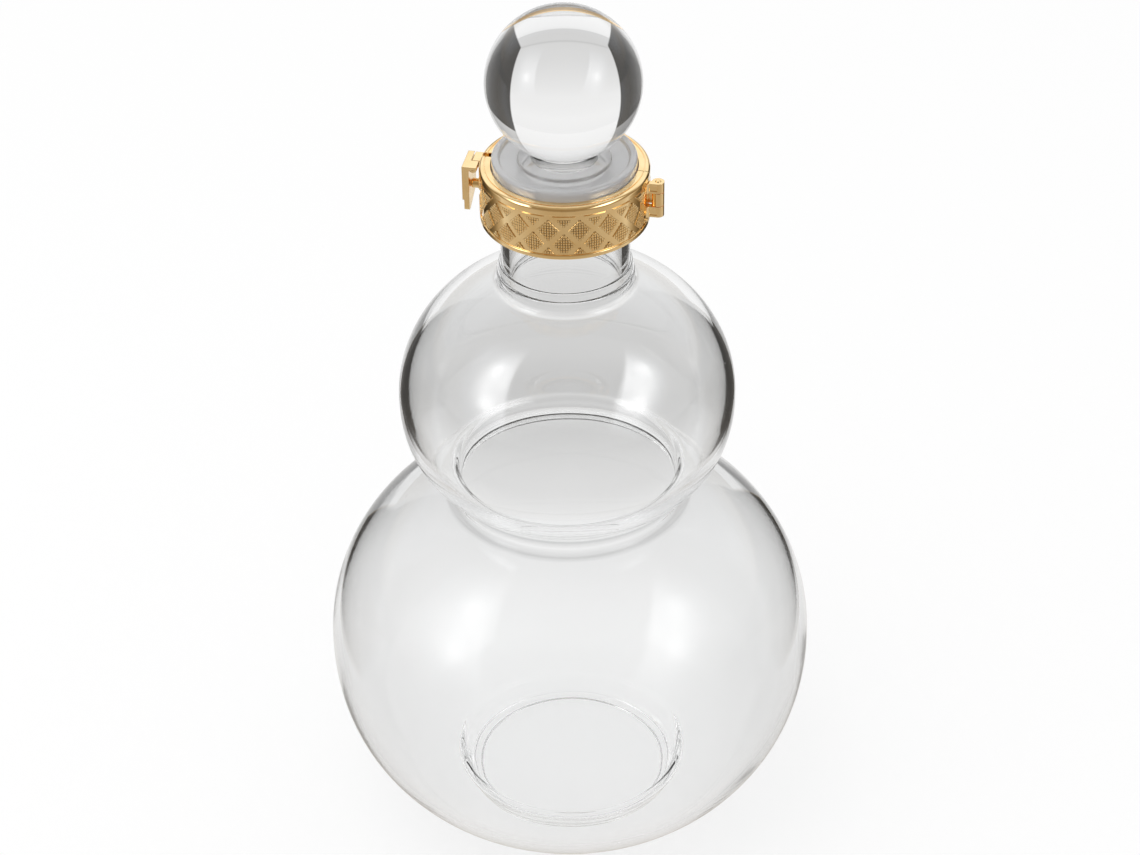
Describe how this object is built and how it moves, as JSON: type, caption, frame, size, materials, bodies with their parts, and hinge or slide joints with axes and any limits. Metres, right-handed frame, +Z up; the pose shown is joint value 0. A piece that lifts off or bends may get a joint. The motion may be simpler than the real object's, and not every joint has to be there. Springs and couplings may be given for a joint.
{
  "type": "decanter",
  "caption": "Gourd-shaped clear glass decanter of two bulbs, with a glass ball stopper and a hinged, hasp-locked gold collar embossed with diamonds round its lip.",
  "frame": {"origin": "centre of the foot's standing ring, on the surface it stands on", "axes": "+Z up along the bottle's axis; -Y is the front that the picture shows; the collar's hinge lies towards +X and its hasp towards -X, turned 11.5 degrees clockwise from the X axis"},
  "size_m": [0.15, 0.15, 0.2785],
  "materials": {
    "clear_glass": "clear, fire polished",
    "gold_metal": "gold plated, mirror polished, with a finely textured diamond emboss",
    "clear_silicone": "translucent, satin"
  },
  "bodies": {
    "body": {"bottle": "clear_glass", "collar_back": "gold_metal", "hinge_pin": "gold_metal", "latch_pin": "gold_metal"},
    "collar_gate": {"collar_front": "gold_metal", "catch_stud": "gold_metal"},
    "hasp": {"latch_hasp": "gold_metal"},
    "stopper": {"stopper_ball": "clear_glass", "stopper_disc": "clear_glass", "stopper_gasket": "clear_silicone", "seal_ring_lower": "clear_silicone", "seal_ring_upper": "clear_silicone"}
  },
  "joints": [
    {"name": "collar_hinge", "type": "hinge", "parent": "body", "child": "collar_gate", "pos_m": [0.02656, -0.0054, 0.22131], "axis": [0, 0, 1], "range_deg": [0, 120]},
    {"name": "hasp_hinge", "type": "hinge", "parent": "body", "child": "hasp", "pos_m": [-0.02558, 0.0052, 0.22711], "axis": [0.1994, 0.9799, 0], "range_deg": [0, 90]},
    {"name": "stopper_lift", "type": "slide", "parent": "body", "child": "stopper", "axis": [0, 0, 1], "range_m": [0, 0.04]}
  ]
}
